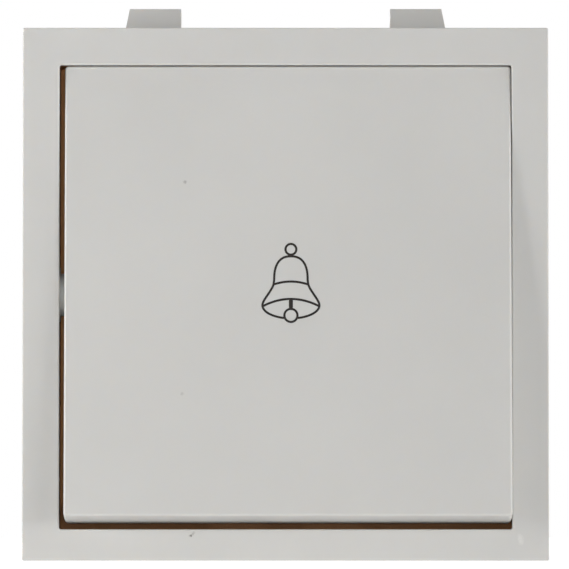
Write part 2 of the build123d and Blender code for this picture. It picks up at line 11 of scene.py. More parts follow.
import bpy
import numpy as np
from bpy.props import FloatProperty, FloatVectorProperty, PointerProperty
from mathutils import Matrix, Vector


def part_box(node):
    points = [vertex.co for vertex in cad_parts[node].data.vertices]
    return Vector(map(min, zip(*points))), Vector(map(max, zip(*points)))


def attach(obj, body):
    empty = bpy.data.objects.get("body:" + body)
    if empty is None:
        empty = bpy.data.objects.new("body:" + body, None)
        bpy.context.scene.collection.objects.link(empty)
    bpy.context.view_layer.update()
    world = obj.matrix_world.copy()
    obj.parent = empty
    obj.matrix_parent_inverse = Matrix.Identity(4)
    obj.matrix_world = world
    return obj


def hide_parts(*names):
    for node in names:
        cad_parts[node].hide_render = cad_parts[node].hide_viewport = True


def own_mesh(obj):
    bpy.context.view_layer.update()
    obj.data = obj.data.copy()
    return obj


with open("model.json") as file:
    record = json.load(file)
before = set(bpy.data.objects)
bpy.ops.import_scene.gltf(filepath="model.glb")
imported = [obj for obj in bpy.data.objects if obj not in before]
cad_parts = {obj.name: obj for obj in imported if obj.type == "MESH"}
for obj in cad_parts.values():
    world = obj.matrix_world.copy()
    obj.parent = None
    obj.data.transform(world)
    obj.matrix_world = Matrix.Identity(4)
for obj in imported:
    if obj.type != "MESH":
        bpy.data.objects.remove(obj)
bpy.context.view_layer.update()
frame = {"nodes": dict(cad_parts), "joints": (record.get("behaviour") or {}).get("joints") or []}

bl_info = {
    "name": "Bell push finishes",
    "version": (1, 0, 0),
    "blender": (4, 5, 0),
    "location": "3D View > Sidebar > Bell Push",
    "description": "Finishes, printed bell, springs and stage of a two-module rocker bell push",
    "category": "Object",
}

MM = 0.001
JOINTS = {joint["name"]: joint for joint in frame["joints"]}
PIVOT = JOINTS["rocker_tilt"]["pos_m"]
FRAME_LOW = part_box("front_frame")[0]
FRONT_Y = FRAME_LOW.y
# The floor lies this far under the frame, so that no two faces share a plane.
FLOOR_GAP = 0.01 * MM
FLOOR_SQUARES = 4

# Points of the drawn paths and of the profiles carried along them.
LINE_STEP = 0.05 * MM
LEAST_POINTS = 3
CAP_POINTS = 7
CROWN_POINTS = 9
DOME_POINTS = 50
FLARE_POINTS = 40
ARC_POINTS = 60
CROWN_RING_POINTS = 64
CLAPPER_POINTS = 72
PIN_RING_POINTS = 48
COIL_STEPS = 56
WIRE_SIDES = 18
# Share of its rounded end to which a raised line narrows before it closes.
CAP_SHARE = 0.985

# Marks on the plastic: across, up and radius in millimetres, and strength.
RAIL_GRIME = (
    (-7.96, -20.39, 0.11, 0.85),
    (-8.07, -20.4, 0.1, 0.35),
    (-7.82, -20.27, 0.12, 0.3),
    (-7.73, -20.16, 0.12, 0.25),
)
RAIL_SCUFF = (
    (19.73, -20.46, 0.24, 0.4),
    (19.8, -20.7, 0.26, 0.45),
    (19.84, -20.96, 0.24, 0.5),
)
FACE_GRIME = ((-8.5, 9.18, 0.17, 0.42), (-8.7, -8.77, 0.17, 0.2))

# The part of a noise's values that is spread over a range, the rest being rare.
NOISE_SPAN = (0.3, 0.7)
# Linear colours that aren't changed by hand.
FLOW_TINT = (0.02, 0.012, 0.008, 1.0)
WIRE_STAIN = (0.2, 0.2, 0.21)
SILVER_STAIN = (0.36, 0.33, 0.29)
ZINC_STAIN = (0.42, 0.4, 0.33)
FLOOR_TINT = (0.9, 0.9, 0.9, 1.0)
WHITE = (1.0, 1.0, 1.0, 1.0)

SENSOR_WIDTH_MM = 36.0
NEAR_CLIP = 10 * MM


def linear(red, green, blue):
    """Linear shares of a colour given as 0 to 255: ((share + 0.055) / 1.055) to the power 2.4."""
    return tuple(((value / 255 + 0.055) / 1.055) ** 2.4 for value in (red, green, blue))


def number(name, description, default):
    """A property that holds a plain number, from 0 up."""
    return FloatProperty(name=name, description=description, default=default, min=0)


def length(name, description, default):
    """A property that holds a length, given in millimetres."""
    return FloatProperty(
        name=name, description=description, default=default * MM, unit="LENGTH", precision=5
    )


def angle(name, description, default):
    """A property that holds an angle, given in degrees."""
    return FloatProperty(
        name=name, description=description, default=radians(default), subtype="ANGLE"
    )


def power(name, description, default):
    """A property that holds a lamp's power, given in watts."""
    return FloatProperty(name=name, description=description, default=default, min=0, unit="POWER")


def colour(name, description, red, green, blue):
    """A property that holds a colour, given as 0 to 255."""
    return FloatVectorProperty(
        name=name,
        description=description,
        default=linear(red, green, blue),
        size=3,
        min=0,
        max=1,
        subtype="COLOR",
    )


class BellPrintSizes(bpy.types.PropertyGroup):
    """Sizes of the printed bell, and where the rocker's face lies."""

    rest_tilt: angle("Rest tilt", "Angle of the rocker's face at rest", 4.2)
    face_reach: length("Face reach", "From the rocker's axis to its face", 3.6)
    centre_x: length("Centre", "Bell's middle, sideways from the frame's middle", 0.45)
    line_width: length("Line width", "Width of the printed lines", 0.19)
    stem_width: length("Stem width", "Width of the clapper's stem", 0.35)
    proud: length("Proud", "Height of the ink on the face", 0.012)
    sunk: length("Sunk", "Depth of the ink's foot under the face", 0.01)
    dome_top: length("Dome top", "Height of the dome's top on the face", 2.86)
    dome_foot: length("Dome foot", "Height at which the dome's sides start", 0.85)
    dome_half: length("Dome half width", "Half of the dome's width at its foot", 1.41)
    dome_power: number("Dome power", "Power of the superellipse that shapes the dome", 2.45)
    waist: length("Waist height", "Height of the waist line's ends", 0.47)
    waist_half: length("Waist half width", "Half of the width at the waist line", 1.465)
    waist_rise: length("Waist rise", "How far the waist line's middle rises", 0.25)
    flare_lean: number("Flare lean", "Share of the flare's run at its first handle", 0.17)
    flare_drop: length("Flare drop", "How far the flare's first handle drops", 0.57)
    flare_swell: length("Flare swell", "How far its last handle lies outside the lip", 0.025)
    flare_lift: length("Flare lift", "How far its last handle rises over the lip", 0.42)
    lip: length("Lip height", "Height of the lip's ends", -1.3)
    lip_half: length("Lip half width", "Half of the bell's width at its lip", 2.395)
    lip_rise: length("Lip rise", "How far the lip's upper line rises in the middle", 0.545)
    lip_drop: length("Lip drop", "How far the lip's lower line drops in the middle", 1.1)
    lip_inset: length("Lip inset", "How far short the upper line stops at each end", 0.02)
    lip_under: length("Lip under", "How far under the lip the upper line's ends lie", 0.07)
    crown_ring: length("Crown ring", "Mean radius of the ring on the dome", 0.455)
    crown_gap: length("Crown gap", "Between the middle lines of dome and ring", 0.14)
    clapper_ring: length("Clapper ring", "Mean radius of the clapper", 0.55)
    clapper: length("Clapper height", "Height of the clapper's centre", -2.15)


class MouldMarkSizes(bpy.types.PropertyGroup):
    """Sizes of the moulded marks on the back of the base."""

    plate_back: length("Plate back", "Depth of the plate's back", 10.5)
    block_back: length("Block back", "Depth of the block's back", 17.9529)
    ring_radius: length("Ring radius", "Radius of the rings that ejector pins leave", 1.5)
    ring_width: length("Ring width", "Width of those rings", 0.16)
    ring_proud: length("Ring height", "Height of those rings", 0.05)
    plate_pin_x: length("Plate pins sideways", "Plate's rings, sideways from the middle", 17.4)
    plate_pin_z: length("Plate pins up", "Plate's rings, up and down from the middle", 17.0)
    block_pin_x: length("Block pins sideways", "Block's rings, sideways from the middle", 9.6)
    block_pin_z: length("Block pins up", "Height of the block's rings", -15.6)
    gauge_x: length("Gauge sideways", "Place of the strip gauge across the back", 8.0)
    gauge_top: length("Gauge top", "Height of the strip gauge's upper end", 1.4)
    gauge_length: length("Gauge length", "Length of bare wire that the gauge shows", 9.0)
    gauge_tick: length("Gauge tick", "Length of the bars across the gauge's ends", 2.4)
    gauge_width: length("Gauge width", "Width of the gauge's bars", 0.4)
    gauge_proud: length("Gauge height", "Height of the gauge's bars", 0.15)


class CoilSizes(bpy.types.PropertyGroup):
    """Sizes of the two coil springs that their boxes in the frame don't give."""

    turns: number("Turns", "Turns of each spring", 3.5)
    closed_turns: number("Closed turns", "Turns that lie flat at each end", 0.75)
    return_wire: length("Return wire", "Thickness of the return spring's wire", 0.5)
    contact_wire: length("Contact wire", "Thickness of the contact spring's wire", 0.36)


class BellPushFinishes(bpy.types.PropertyGroup):
    """Colours of the materials."""

    frame_plastic: colour("Frame", "Moulded plastic of the frame", 206, 205, 202)
    rocker_plastic: colour("Rocker", "Moulded plastic of the rocker", 206, 205, 202)
    ink: colour("Ink", "Printed lines of the bell", 22, 17, 13)
    grime: colour("Grime", "Specks on the plastic", 92, 88, 84)
    scuff: colour("Scuff", "Pale scuff on the frame", 222, 221, 217)
    phenolic: colour("Base", "Moulded brown of the base", 96, 60, 34)
    # Painted light: a paler brown for the base where it shows in the gaps round the rocker,
    # standing in for light that reaches into their shade.
    painted_gap_light: colour("Dusty base", "Paler brown of the base behind the gaps", 213, 154, 101)
    filler: colour("Filler", "Flecks in the moulded brown", 150, 112, 76)
    nylon: colour("Plunger", "Natural nylon of the plunger", 222, 216, 198)
    spring: colour("Springs", "Drawn spring wire", 190, 190, 192)
    strip: colour("Brass strip", "Stamped contact strips", 214, 176, 104)
    block: colour("Brass block", "Machined terminals", 208, 168, 92)
    tarnish: colour("Tarnish", "Darker blotches on brass", 150, 108, 52)
    silver: colour("Silver", "Contact tips", 226, 224, 220)
    zinc: colour("Zinc", "Plated screws", 196, 199, 203)


class BellPushStage(bpy.types.PropertyGroup):
    """Camera, lights and floor. A lamp's turn is round from the front, its rise over the level."""

    camera_back: length("Camera back", "Camera's distance in front of the frame's face", 480)
    camera_x: length("Camera sideways", "Camera's place to the side of the middle", -0.09)
    camera_z: length("Camera height", "Camera's height over the frame's middle", -20)
    aim_z: length("Aim height", "Height at which the camera looks", 0.776)
    lens: FloatProperty(
        name="Lens", description="Camera's focal length", default=360.3, unit="CAMERA"
    )
    world_light: number("World light", "Strength of the even light", 0.115)
    left_light: power("Left light", "Power of the left lamp", 0.47)
    left_turn: angle("Left turn", "Left lamp's turn", -69)
    left_rise: angle("Left rise", "Left lamp's rise", 0)
    left_far: length("Left distance", "Left lamp's distance from the frame", 250)
    left_wide: length("Left width", "Left lamp's width", 70)
    left_tall: length("Left height", "Left lamp's height", 120)
    right_light: power("Right light", "Power of the right lamp", 8.1)
    right_turn: angle("Right turn", "Right lamp's turn", 64)
    right_rise: angle("Right rise", "Right lamp's rise", 0)
    right_far: length("Right distance", "Right lamp's distance from the frame", 900)
    right_wide: length("Right width", "Right lamp's width", 760)
    right_tall: length("Right height", "Right lamp's height", 500)
    top_light: power("Top light", "Power of the top lamp", 0.67)
    top_turn: angle("Top turn", "Top lamp's turn", 0)
    top_rise: angle("Top rise", "Top lamp's rise", 87.5)
    top_far: length("Top distance", "Top lamp's distance from the frame", 700)
    top_wide: length("Top width", "Top lamp's width", 400)
    top_tall: length("Top height", "Top lamp's height", 200)
    back_light: power("Back light", "Power of the back lamp", 1.3)
    back_turn: angle("Back turn", "Back lamp's turn", -155)
    back_rise: angle("Back rise", "Back lamp's rise", 16)
    back_far: length("Back distance", "Back lamp's distance from the frame", 700)
    back_wide: length("Back width", "Back lamp's width", 400)
    back_tall: length("Back height", "Back lamp's height", 240)
    front_light: power("Front light", "Power of the front lamp, at the camera", 0.385)
    front_wide: length("Front width", "Width of the front lamp", 20)
    floor_half: length("Floor half width", "Half of the floor's side", 1500)
    floor_light: number("Floor light", "Light of the shining table", 0.37)
    near_glow: number("Near glow", "White only seen, at the object", 0.3)
    far_glow: number("Far glow", "White only seen, far from the object", 0.62)
    near_reach: length("Near reach", "Where the near glow starts to change", 80)
    far_reach: length("Far reach", "Where the far glow is reached", 400)


def mesh_piece(name, points, faces, material, smooth=True):
    """Puts points and faces into a new mesh object at the origin and links it to the scene."""
    mesh = bpy.data.meshes.new(name)
    mesh.from_pydata(points.tolist(), [], faces)
    mesh.validate()
    mesh.polygons.foreach_set("use_smooth", np.full(len(mesh.polygons), smooth))
    mesh.materials.append(material)
    piece = bpy.data.objects.new(name, mesh)
    bpy.context.scene.collection.objects.link(piece)
    return piece


def on_face(sizes, across, up, out):
    """Points of the rocker's face plane: pivot + across * X + up * U + (reach + out) * N.

    U is Z and N is -Y, both turned by the rest tilt about X.
    """
    tilt_cos, tilt_sin = cos(sizes.rest_tilt), sin(sizes.rest_tilt)
    rise = sizes.face_reach + out
    return np.stack(
        [
            PIVOT[0] + across,
            PIVOT[1] + up * tilt_sin - rise * tilt_cos,
            PIVOT[2] + up * tilt_cos + rise * tilt_sin,
        ],
        axis=-1,
    )


def on_back(depth, across, up, out):
    """Points of a plane that faces backwards: -across along X, depth + out along Y, up along Z."""
    return np.stack([-across, depth + out, up], axis=-1)


def spaced(path, step, cap):
    """Points along a path at even distances, and closer together over a cap at both ends.

    Distances are looked up along the summed lengths of the path's runs. Over a cap they are
    cap * (1 - cos t), t from 0 to a quarter turn.
    """
    runs = np.hypot(*np.diff(path, axis=0).T)
    along = np.concatenate([[0.0], np.cumsum(runs)])
    ends = cap * (1 - np.cos(np.linspace(0, pi / 2, CAP_POINTS)))
    count = max(LEAST_POINTS, int(along[-1] / step))
    middle = np.linspace(cap, along[-1] - cap, count)
    distance = np.concatenate([ends[:-1], middle, along[-1] - ends[-2::-1]])
    points = np.stack([np.interp(distance, along, path[:, i]) for i in (0, 1)], axis=1)
    return points, distance


def ring_faces(rows, columns, closed=False):
    """Faces between neighbouring rings of points.

    The last ring joins the first, or a cap closes each end.
    """
    row = np.arange(rows if closed else rows - 1)[:, None]
    column = np.arange(columns)[None, :]
    here, after = row * columns, (row + 1) % rows * columns
    beside = (column + 1) % columns
    corners = np.broadcast_arrays(here + column, after + column, after + beside, here + beside)
    faces = np.stack(corners, axis=-1).reshape(-1, 4).tolist()
    if not closed:
        faces.append(list(range(columns)))
        faces.append(list(range((rows - 1) * columns, rows * columns))[::-1])
    return faces


def raised_line(spread, path, width, proud, sunk, closed=False):
    """One raised line: a crowned profile carried along a path in a plane, as points and faces.

    The profile's crown is proud * (1 - s^4) over the share s of the half width, and its flat
    foot is sunk under the plane. An open line narrows at both ends as a half circle: half width
    * sqrt(1 - e^2), e the share into the end. Spread turns places across, up and out of the
    plane into points.
    """
    half = width / 2
    if closed:
        middle, narrow = path, np.ones(len(path))
        tangent = np.roll(middle, -1, axis=0) - np.roll(middle, 1, axis=0)
    else:
        middle, distance = spaced(path, LINE_STEP, half)
        into = 1 - np.minimum(distance, distance[-1] - distance) / half
        narrow = np.sqrt(1 - np.clip(into, 0, CAP_SHARE) ** 2)
        tangent = np.gradient(middle, axis=0)
    tangent /= np.linalg.norm(tangent, axis=1, keepdims=True)
    side = np.stack([-tangent[:, 1], tangent[:, 0]], axis=1)
    share = np.linspace(-1, 1, CROWN_POINTS)
    lift = proud * (1 - share**4)
    share = np.concatenate([share, [1.0, -1.0]])
    lift = np.concatenate([lift, [-sunk, -sunk]])
    offset = half * narrow[:, None] * share[None, :]
    across = middle[:, :1] + side[:, :1] * offset
    up = middle[:, 1:] + side[:, 1:] * offset
    points = spread(across, up, np.broadcast_to(lift, offset.shape)).reshape(-1, 3)
    return points, ring_faces(*offset.shape, closed)


def joined(lines):
    """Points and faces of several lines in one mesh."""
    starts = np.cumsum([0] + [len(points) for points, _ in lines])
    faces = [
        [corner + start for corner in face]
        for start, (_, group) in zip(starts, lines)
        for face in group
    ]
    return np.concatenate([points for points, _ in lines]), faces


def ring_path(centre_x, centre_up, radius, count):
    """A circle, anticlockwise: centre + radius * (cos t, sin t)."""
    turn = np.linspace(0, 2 * pi, count, endpoint=False)
    return np.stack([centre_x + radius * np.cos(turn), centre_up + radius * np.sin(turn)], axis=1)


def arc_path(centre_x, half, end_up, rise):
    """A shallow arc: end height + rise * (1 - s^2), s from -1 at the left to 1 at the right."""
    share = np.linspace(-1, 1, ARC_POINTS)
    return np.stack([centre_x + half * share, end_up + rise * (1 - share**2)], axis=1)


def bell_half_path(sizes):
    """Right half of the bell's outline from the dome's top to the clapper, from the bell's middle.

    Dome: a superellipse. Side: a straight run to the waist. Flare: a cubic curve on four
    handles, weighted (1 - t)^3, 3t(1 - t)^2, 3t^2(1 - t) and t^3. Lip's lower line: a quarter
    ellipse that stops at the clapper's ring.
    """
    turn = np.linspace(0, pi / 2, DOME_POINTS)
    rounding = 2 / sizes.dome_power
    dome_rise = sizes.dome_top - sizes.dome_foot
    dome_x = sizes.dome_half * np.sin(turn) ** rounding
    dome_up = sizes.dome_foot + dome_rise * np.cos(turn) ** rounding
    flare_run = sizes.lip_half - sizes.waist_half
    handles = np.array(
        [
            [sizes.waist_half, sizes.waist],
            [sizes.waist_half + sizes.flare_lean * flare_run, sizes.waist - sizes.flare_drop],
            [sizes.lip_half + sizes.flare_swell, sizes.lip + sizes.flare_lift],
            [sizes.lip_half, sizes.lip],
        ]
    )
    step = np.linspace(0, 1, FLARE_POINTS)
    rest = 1 - step
    flare = np.stack([rest**3, 3 * step * rest**2, 3 * step**2 * rest, step**3], axis=1) @ handles
    stop = np.arcsin(min(1.0, sizes.clapper_ring / sizes.lip_half))
    turn = np.linspace(pi / 2, stop, DOME_POINTS)[1:]
    lower_up = sizes.lip - sizes.lip_drop * np.cos(turn)
    lower = np.stack([sizes.lip_half * np.sin(turn), lower_up], axis=1)
    return np.concatenate([np.stack([dome_x, dome_up], axis=1), flare, lower])


def bell_mesh(sizes):
    """Points and faces of all the bell's printed lines."""
    middle = sizes.centre_x
    right = bell_half_path(sizes)
    left = right[::-1] * np.array([-1.0, 1.0])
    outline = np.concatenate([left, right[1:]]) + np.array([middle, 0.0])
    waist_line = arc_path(middle, sizes.waist_half, sizes.waist, sizes.waist_rise)
    lip_line = arc_path(
        middle,
        sizes.lip_half - sizes.lip_inset,
        sizes.lip - sizes.lip_under,
        sizes.lip_rise + sizes.lip_under,
    )
    stem_top = sizes.lip + sizes.lip_rise
    stem_foot = sizes.clapper + sizes.clapper_ring
    stem = np.array([[middle, stem_top], [middle, stem_foot]])
    crown_up = sizes.dome_top + sizes.crown_ring + sizes.crown_gap
    crown = ring_path(middle, crown_up, sizes.crown_ring, CROWN_RING_POINTS)
    clapper = ring_path(middle, sizes.clapper, sizes.clapper_ring, CLAPPER_POINTS)
    drawn = partial(raised_line, partial(on_face, sizes), proud=sizes.proud, sunk=sizes.sunk)
    lines = [drawn(path=path, width=sizes.line_width) for path in (outline, waist_line, lip_line)]
    lines.append(drawn(path=stem, width=sizes.stem_width))
    lines += [drawn(path=path, width=sizes.line_width, closed=True) for path in (crown, clapper)]
    return joined(lines)


def mould_marks(sizes):
    """Points and faces of the pin rings on the base's plate and block, and of the strip gauge."""
    ring = partial(
        raised_line,
        width=sizes.ring_width,
        proud=sizes.ring_proud,
        sunk=sizes.ring_proud,
        closed=True,
    )
    bar = partial(
        raised_line, width=sizes.gauge_width, proud=sizes.gauge_proud, sunk=sizes.ring_proud
    )
    plate = partial(on_back, sizes.plate_back)
    block = partial(on_back, sizes.block_back)
    pins = [
        (plate, side * sizes.plate_pin_x, rise * sizes.plate_pin_z)
        for side in (-1, 1)
        for rise in (-1, 1)
    ]
    pins += [(block, side * sizes.block_pin_x, sizes.block_pin_z) for side in (-1, 1)]
    lines = [
        ring(spread, ring_path(across, up, sizes.ring_radius, PIN_RING_POINTS))
        for spread, across, up in pins
    ]
    middle, reach = sizes.gauge_x, sizes.gauge_tick / 2
    top, foot = sizes.gauge_top, sizes.gauge_top - sizes.gauge_length
    lines.append(bar(block, np.array([[middle, top], [middle, foot]])))
    for height in (top, foot):
        lines.append(bar(block, np.array([[middle - reach, height], [middle + reach, height]])))
    return joined(lines)


def coil_mesh(low, high, wire, sizes):
    """Points and faces of a coil spring that fills a box: a circle carried along a helix about Y.

    The middle line is (r * cos a, y, r * sin a) from the box's middle. With the angle a, y
    climbs by one thickness of wire a turn in the closed turns at both ends, and evenly in
    between. The circle lies in the plane of the outward direction and of the tangent crossed
    with it.
    """
    climb, flat = high.y - low.y - wire, sizes.closed_turns * wire
    turn = np.linspace(0, sizes.turns, int(sizes.turns * COIL_STEPS) + 1)
    marks = [0, sizes.closed_turns, sizes.turns - sizes.closed_turns, sizes.turns]
    bend = 2 * pi * turn
    outward = np.stack([np.cos(bend), np.zeros(len(turn)), np.sin(bend)], axis=1)
    middle = (high.x - low.x - wire) / 2 * outward
    middle[:, 1] = np.interp(turn, marks, [0, flat, climb - flat, climb])
    middle += np.array([(low.x + high.x) / 2, low.y + wire / 2, (low.z + high.z) / 2])
    tangent = np.gradient(middle, axis=0)
    tangent /= np.linalg.norm(tangent, axis=1, keepdims=True)
    across = np.cross(tangent, outward)
    around = np.linspace(2 * pi, 0, WIRE_SIDES, endpoint=False)[None, :, None]
    section = np.cos(around) * outward[:, None] + np.sin(around) * across[:, None]
    points = middle[:, None] + wire / 2 * section
    return points.reshape(-1, 3), ring_faces(*points.shape[:2])


def add(tree, kind, inputs=None, **settings):
    """Adds a node.

    Settings are its own attributes. Inputs are values or sockets by the input's name or place.
    """
    made = tree.nodes.new(kind)
    for name, value in settings.items():
        setattr(made, name, value)
    for name, value in (inputs or {}).items():
        if isinstance(value, bpy.types.NodeSocket):
            tree.links.new(value, made.inputs[name])
        else:
            made.inputs[name].default_value = value
    return made


def maths(tree, operation, *values):
    """Output socket of one operation on numbers."""
    return add(tree, "ShaderNodeMath", dict(enumerate(values)), operation=operation).outputs[0]


def blended(tree, factor, first, second):
    """Output socket of a colour mix: first where the factor is 0, second where it is 1."""
    inputs = {0: factor, 6: first, 7: second}
    return add(tree, "ShaderNodeMix", inputs, data_type="RGBA").outputs[2]


def ranged(tree, value, source, target):
    """Output socket of a value carried from one range to another, and held at its ends."""
    inputs = {"Value": value}
    inputs |= {"From Min": source[0], "From Max": source[1]}
    inputs |= {"To Min": target[0], "To Max": target[1]}
    return add(tree, "ShaderNodeMapRange", inputs).outputs["Result"]


def noise(tree, place, scale, detail, roughness=0.5, distortion=0.0):
    """Output socket of a noise value at a place."""
    inputs = {"Vector": place, "Scale": scale, "Detail": detail}
    inputs |= {"Roughness": roughness, "Distortion": distortion}
    return add(tree, "ShaderNodeTexNoise", inputs).outputs["Fac"]


SKIN_OUTPUTS = {"Color": "Color", "Roughness": "Float", "Grain": "Float"}


def start_group(name, inputs, outputs):
    """A new shader node group whose sockets are given as label and kind.

    Gives its tree, its input sockets and its output node.
    """
    tree = bpy.data.node_groups.new(name, "ShaderNodeTree")
    for way, sockets in (("INPUT", inputs), ("OUTPUT", outputs)):
        for label, kind in sockets.items():
            tree.interface.new_socket(label, in_out=way, socket_type=f"NodeSocket{kind}")
    return tree, tree.nodes.new("NodeGroupInput").outputs, tree.nodes.new("NodeGroupOutput")


def send(tree, result, **sockets):
    """Links sockets to a group's outputs by name."""
    for label, socket in sockets.items():
        tree.links.new(socket, result.inputs[label])


def moulded_skin_group():
    """Moulded plastic: a soft cloud between two tints, a patchy gloss and a fine grain."""
    tree, given, result = start_group(
        "moulded_skin",
        {
            "Vector": "Vector",
            "Tint": "Color",
            "Shade": "Color",
            "Cloud Scale": "Float",
            "Grain Scale": "Float",
            "Rough Low": "Float",
            "Rough High": "Float",
        },
        SKIN_OUTPUTS,
    )
    place = given["Vector"]
    cloud = noise(tree, place, scale=given["Cloud Scale"], detail=3.0)
    smear = noise(tree, place, scale=240.0, detail=4.0, roughness=0.65)
    share = ranged(tree, cloud, NOISE_SPAN, (0.0, 1.0))
    send(
        tree,
        result,
        Color=blended(tree, share, given["Tint"], given["Shade"]),
        Roughness=ranged(tree, smear, NOISE_SPAN, (given["Rough Low"], given["Rough High"])),
        Grain=noise(tree, place, scale=given["Grain Scale"], detail=2.0),
    )
    return tree


def speck_group():
    """A small spot of dirt: full inside the radius, fading over its rim, with a ragged edge."""
    tree, given, result = start_group(
        "speck",
        {"Vector": "Vector", "Place": "Vector", "Radius": "Float", "Strength": "Float"},
        {"Mask": "Float"},
    )
    ends = {0: given["Vector"], 1: given["Place"]}
    apart = add(tree, "ShaderNodeVectorMath", ends, operation="DISTANCE").outputs["Value"]
    share = maths(tree, "DIVIDE", apart, given["Radius"])
    wander = noise(tree, given["Vector"], scale=9000.0, detail=2.0)
    reach = maths(tree, "ADD", share, ranged(tree, wander, (0.25, 0.75), (-0.35, 0.35)))
    send(tree, result, Mask=ranged(tree, reach, (0.45, 1.15), (given["Strength"], 0.0)))
    return tree


def filled_resin_group():
    """Filled moulding resin: pale flecks in a dark tint, slow flow marks, and a paler front that
    is painted light.

    The paler front is painted light, standing in for light that reaches the shaded gaps. It is
    full in front of the From depth, measured along Y, and gone at the To depth. It lies within the
    Half width of the middle, measured along X. From the Thin height down to the Foot height,
    measured along Z, it thins to under a half.
    """
    tree, given, result = start_group(
        "filled_resin",
        {
            "Vector": "Vector",
            "Tint": "Color",
            "Dust": "Color",
            "Fleck": "Color",
            "Fleck Scale": "Float",
            "Dust From": "Float",
            "Dust To": "Float",
            "Dust Half": "Float",
            "Dust Thin": "Float",
            "Dust Foot": "Float",
        },
        SKIN_OUTPUTS,
    )
    place = given["Vector"]
    grains = {"Vector": place, "Scale": given["Fleck Scale"]}
    cells = add(tree, "ShaderNodeTexVoronoi", grains).outputs
    pick = add(tree, "ShaderNodeSeparateColor", {"Color": cells["Color"]}).outputs[0]
    chosen = ranged(tree, pick, (0.72, 0.95), (0.0, 0.6))
    near = ranged(tree, cells["Distance"], (0.15, 0.45), (1.0, 0.0))
    fleck = maths(tree, "MULTIPLY", chosen, near)
    flow = noise(tree, place, scale=170.0, detail=5.0, distortion=1.6)
    shade = ranged(tree, flow, (0.4, 0.72), (0.0, 0.3))
    axes = add(tree, "ShaderNodeSeparateXYZ", {"Vector": place}).outputs
    # Painted light: a paler brown in front of a depth and across the rocker's width, thinner
    # towards the bottom, standing in for light in the shaded gaps.
    front = ranged(tree, axes["Y"], (given["Dust From"], given["Dust To"]), (1.0, 0.0))
    above = ranged(tree, axes["Z"], (given["Dust Foot"], given["Dust Thin"]), (0.45, 1.0))
    within = maths(tree, "LESS_THAN", maths(tree, "ABSOLUTE", axes["X"]), given["Dust Half"])
    gap_light = maths(tree, "MULTIPLY", maths(tree, "MULTIPLY", front, above), within)
    flecked = blended(tree, fleck, given["Tint"], given["Fleck"])
    body = blended(tree, shade, flecked, FLOW_TINT)
    send(
        tree,
        result,
        Color=blended(tree, gap_light, body, given["Dust"]),
        Roughness=ranged(tree, flow, NOISE_SPAN, (0.36, 0.52)),
        Grain=noise(tree, place, scale=3600.0, detail=3.0),
    )
    return tree


def metal_skin_group():
    """Worked metal: streaks stretched along one direction, and stains in soft blotches."""
    tree, given, result = start_group(
        "metal_skin",
        {
            "Vector": "Vector",
            "Stretch": "Vector",
            "Tint": "Color",
            "Stain": "Color",
            "Stain Amount": "Float",
            "Streak Scale": "Float",
            "Rough Low": "Float",
            "Rough High": "Float",
        },
        SKIN_OUTPUTS,
    )
    ends = {0: given["Vector"], 1: given["Stretch"]}
    drawn = add(tree, "ShaderNodeVectorMath", ends, operation="MULTIPLY").outputs["Vector"]
    streak = noise(tree, drawn, scale=given["Streak Scale"], detail=3.0, roughness=0.6)
    blotch = noise(tree, given["Vector"], scale=420.0, detail=4.0, roughness=0.6)
    stain = ranged(tree, blotch, (0.42, 0.72), (0.0, given["Stain Amount"]))
    send(
        tree,
        result,
        Color=blended(tree, stain, given["Tint"], given["Stain"]),
        Roughness=ranged(tree, streak, NOISE_SPAN, (given["Rough Low"], given["Rough High"])),
        Grain=streak,
    )
    return tree


GROUP_MAKERS = {
    "moulded_skin": moulded_skin_group,
    "speck": speck_group,
    "filled_resin": filled_resin_group,
    "metal_skin": metal_skin_group,
}


def placed(tree, name, inputs):
    """Places a shared node group, made at its first use, and gives its output sockets."""
    group = bpy.data.node_groups.get(name) or GROUP_MAKERS[name]()
    return add(tree, "ShaderNodeGroup", inputs, node_tree=group).outputs


def solid(rgb, share=1.0):
    """A colour with full alpha, scaled by a share."""
    return (rgb[0] * share, rgb[1] * share, rgb[2] * share, 1.0)


def start_material(name):
    """A new material; gives it, its node tree, its shader and the Object coordinates' socket."""
    material = bpy.data.materials.new(name)
    material.use_nodes = True
    tree = material.node_tree
    place = add(tree, "ShaderNodeTexCoord").outputs["Object"]
    return material, tree, tree.nodes["Principled BSDF"], place


def surfaced(tree, shader, skin, shown, strength, depth):
    """Feeds the shown colour, and a skin group's roughness and grain as bump, into the shader."""
    grain = {"Height": skin["Grain"], "Strength": strength, "Distance": depth}
    bump = add(tree, "ShaderNodeBump", grain)
    tree.links.new(shown, shader.inputs["Base Color"])
    tree.links.new(skin["Roughness"], shader.inputs["Roughness"])
    tree.links.new(bump.outputs["Normal"], shader.inputs["Normal"])


def moulded(name, tint, shade, cloud, grain, rough, strength, depth, specks=()):
    """A moulded finish; gives its material and its shader.

    Shade is the darker tint's share of the tint, cloud and grain are noise scales, rough is a
    range, strength and depth are the bump's. A speck is a place, a radius, a strength and a
    colour.
    """
    material, tree, shader, place = start_material(name)
    skin = placed(
        tree,
        "moulded_skin",
        {
            "Vector": place,
            "Tint": solid(tint),
            "Shade": solid(tint, shade),
            "Cloud Scale": cloud,
            "Grain Scale": grain,
            "Rough Low": rough[0],
            "Rough High": rough[1],
        },
    )
    shown = skin["Color"]
    for spot, radius, amount, dirt in specks:
        speck = {"Vector": place, "Place": spot, "Radius": radius, "Strength": amount}
        shown = blended(tree, placed(tree, "speck", speck)["Mask"], shown, solid(dirt))
    surfaced(tree, shader, skin, shown, strength, depth)
    return material, shader


def lit_under_skin(shader, weight, radius, scale):
    """Lets light spread under a plastic's skin: its share, its reach by colour and their scale."""
    shader.inputs["Subsurface Weight"].default_value = weight
    shader.inputs["Subsurface Radius"].default_value = radius
    shader.inputs["Subsurface Scale"].default_value = scale


